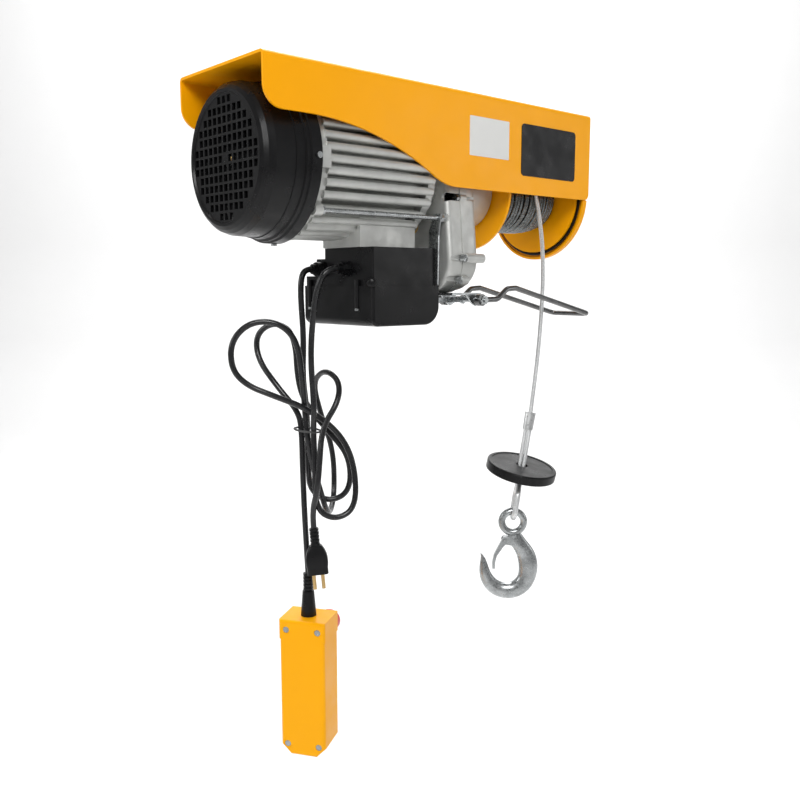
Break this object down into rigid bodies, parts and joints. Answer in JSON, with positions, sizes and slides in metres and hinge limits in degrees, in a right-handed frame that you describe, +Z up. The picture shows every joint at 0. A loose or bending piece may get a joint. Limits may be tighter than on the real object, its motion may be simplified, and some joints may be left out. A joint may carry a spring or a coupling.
{
  "type": "electric wire rope hoist",
  "caption": "Electric wire rope hoist: finned motor, gear case and rope drum under an inverted channel, with a hook, a limit bail, an electrical box and a pendant control on its cable.",
  "frame": {"origin": "centre of the four mounting holes, on the channel's top face", "axes": "+X from the motor's fan toward the drum's outer end, -Y the front that carries the rating plate and the rope, +Z up"},
  "size_m": [0.522, 0.1881, 0.791],
  "materials": {
    "black_label": "satin",
    "black_plastic": "matt moulded",
    "bronze": "machined",
    "capacitor_shell": "matt",
    "cast_aluminium": "matt cast",
    "copper": "varnished",
    "cord_rubber": "satin",
    "crimped_aluminium": "bright",
    "dark_steel": "zinc plated, darker",
    "gear_steel": "machined",
    "orange_paint": "gloss powder coat",
    "red_plastic": "gloss",
    "tie_plastic": "matt",
    "white_label": "matt",
    "wire_rope": "galvanised strands",
    "yellow_plastic": "satin moulded",
    "zinc_steel": "zinc plated"
  },
  "bodies": {
    "hoist": {"bail_bracket": "zinc_steel", "box_base": "black_plastic", "box_lid": "black_plastic", "box_screws": "zinc_steel", "cable_glands": "black_plastic", "capacitor": "capacitor_shell", "control_cable": "cord_rubber", "cord_tie": "tie_plastic", "cross_plate": "orange_paint", "end_plate": "orange_paint", "fan_cover": "black_plastic", "fan_cover_screws": "zinc_steel", "frame": "orange_paint", "front_endshield": "cast_aluminium", "gear_case_bolts": "zinc_steel", "gear_case_drum_side": "cast_aluminium", "gear_case_motor_side": "cast_aluminium", "layshaft_bushes": "bronze", "limit_switch": "black_plastic", "motor_housing": "cast_aluminium", "notice_plate": "white_label", "pendant_back": "yellow_plastic", "pendant_front": "yellow_plastic", "pendant_gland": "black_plastic", "pendant_screws": "zinc_steel", "plug": "black_plastic", "plug_pins": "bronze", "power_cord": "cord_rubber", "rating_plate": "black_label", "rear_endshield": "cast_aluminium", "rope_fall": "wire_rope", "shaft_bearings": "gear_steel", "stator": "gear_steel", "stator_windings": "copper", "switch_strap": "zinc_steel", "tie_rods": "zinc_steel"},
    "drum": {"drum": "orange_paint", "drum_shaft": "gear_steel", "output_gear": "gear_steel", "rope_winding": "wire_rope"},
    "layshaft": {"layshaft": "gear_steel", "first_gear": "gear_steel"},
    "rotor": {"motor_shaft": "gear_steel", "fan": "black_plastic", "rotor_core": "gear_steel", "brake_disc": "gear_steel"},
    "rope_end": {"rope_ferrule": "crimped_aluminium", "rope_tail": "wire_rope", "rope_eye": "wire_rope", "rope_stopper": "black_plastic"},
    "hook": {"hook": "zinc_steel", "latch_pin": "zinc_steel"},
    "latch": {"hook_latch": "zinc_steel"},
    "bail": {"limit_bail": "dark_steel", "bail_bolt": "zinc_steel", "limit_arm": "zinc_steel"},
    "switch_plunger": {"limit_plunger": "zinc_steel"},
    "up_button": {"up_button": "black_plastic"},
    "down_button": {"down_button": "black_plastic"},
    "stop_button": {"estop_button": "red_plastic"}
  },
  "joints": [
    {"name": "drum_spin", "type": "hinge", "parent": "hoist", "child": "drum", "pos_m": [0, 0, -0.105], "axis": [-1, 0, 0], "range_deg": [0, 213.4]},
    {"name": "layshaft_spin", "type": "hinge", "parent": "hoist", "child": "layshaft", "pos_m": [0, -0.01178, -0.15153], "axis": [-1, 0, 0], "range_deg": [-1029, 0]},
    {"name": "motor_spin", "type": "hinge", "parent": "hoist", "child": "rotor", "pos_m": [0, 0, -0.0927], "axis": [-1, 0, 0], "range_deg": [0, 5142]},
    {"name": "hook_travel", "type": "slide", "parent": "hoist", "child": "rope_end", "axis": [0, 0, 1], "range_m": [0, 0.19], "deforming": ["rope_fall"]},
    {"name": "hook_swing", "type": "hinge", "parent": "rope_end", "child": "hook", "pos_m": [0.14994, -0.051, -0.53598], "axis": [0.682, 0.7314, 0], "range_deg": [-35, 35]},
    {"name": "latch_spring", "type": "hinge", "parent": "hook", "child": "latch", "pos_m": [0.14226, -0.04384, -0.56783], "axis": [-0.682, -0.7314, 0], "range_deg": [0, 40], "stiffness_Nm_per_rad": 0.03, "springref_deg": -22.92},
    {"name": "bail_lift", "type": "hinge", "parent": "hoist", "child": "bail", "pos_m": [0.048, -0.051, -0.2405], "axis": [0, -1, 0], "range_deg": [0, 8]},
    {"name": "switch_travel", "type": "slide", "parent": "hoist", "child": "switch_plunger", "axis": [0, 0, -1], "range_m": [0, 0.0031]},
    {"name": "up_press", "type": "slide", "parent": "hoist", "child": "up_button", "axis": [-0.8386, -0.5447, 0], "range_m": [0, 0.003], "stiffness_N_per_m": 400, "springref_m": -0.002},
    {"name": "down_press", "type": "slide", "parent": "hoist", "child": "down_button", "axis": [-0.8386, -0.5447, 0], "range_m": [0, 0.003], "stiffness_N_per_m": 400, "springref_m": -0.002},
    {"name": "stop_press", "type": "slide", "parent": "hoist", "child": "stop_button", "axis": [-0.8386, -0.5447, 0], "range_m": [0, 0.004]}
  ],
  "couplings": [
    {"joint": "hook_travel", "follows": "drum_spin", "m_per_rad": 0.051},
    {"joint": "layshaft_spin", "follows": "drum_spin", "ratio": -4.8182},
    {"joint": "motor_spin", "follows": "drum_spin", "ratio": 24.091},
    {"joint": "switch_travel", "follows": "bail_lift", "m_per_rad": 0.0215}
  ]
}
